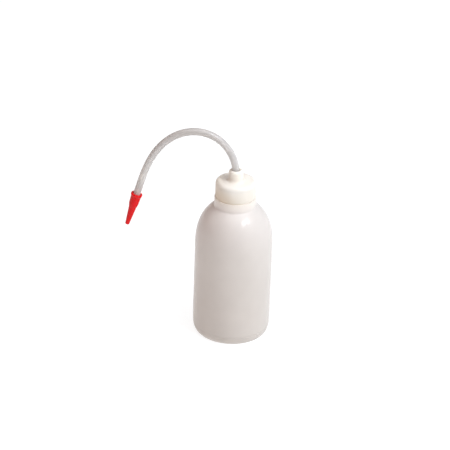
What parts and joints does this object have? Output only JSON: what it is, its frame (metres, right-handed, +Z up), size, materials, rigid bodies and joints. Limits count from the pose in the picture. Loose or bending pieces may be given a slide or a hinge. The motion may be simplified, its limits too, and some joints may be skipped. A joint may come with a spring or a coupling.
{
  "type": "wash bottle",
  "caption": "Squeeze wash bottle with a round body, a threaded screw cap, a bent delivery tube that swivels in the cap's boss, a tapered pull-off nozzle and a dip tube.",
  "frame": {"origin": "centre of the bottle's base, on the plane it stands on", "axes": "+Z up along the bottle's axis, -X towards the nozzle, so the delivery tube bends in the XZ plane"},
  "size_m": [0.1429, 0.075, 0.2159],
  "materials": {
    "bottle_plastic": "milky translucent polyethylene, satin",
    "cap_plastic": "ivory polypropylene, soft gloss",
    "seal_foam": "closed-cell foam liner, matt",
    "tube_plastic": "translucent polyethylene tube",
    "nozzle_plastic": "red polyethylene, glossy"
  },
  "bodies": {
    "base": {"bottle": "bottle_plastic"},
    "lift_ring": {"cap_seal": "seal_foam"},
    "screw_cap": {"cap": "cap_plastic", "dip_tube": "tube_plastic"},
    "spout": {"delivery_tube": "tube_plastic"},
    "nozzle_tip": {"nozzle": "nozzle_plastic"}
  },
  "joints": [
    {"name": "cap_lift", "type": "slide", "parent": "base", "child": "lift_ring", "axis": [0, 0, 1], "range_m": [0, 0.00601]},
    {"name": "cap_turn", "type": "hinge", "parent": "lift_ring", "child": "screw_cap", "pos_m": [0, 0, 0.154], "axis": [0, 0, 1], "range_deg": [0, 540]},
    {"name": "spout_swivel", "type": "hinge", "parent": "screw_cap", "child": "spout", "pos_m": [0, 0, 0.168], "axis": [0, 0, 1], "continuous": true},
    {"name": "nozzle_pull", "type": "slide", "parent": "spout", "child": "nozzle_tip", "axis": [-0.2616, 0, -0.9652], "range_m": [0, 0.013]}
  ],
  "couplings": [
    {"joint": "cap_lift", "follows": "cap_turn", "m_per_rad": 0.00063662}
  ]
}
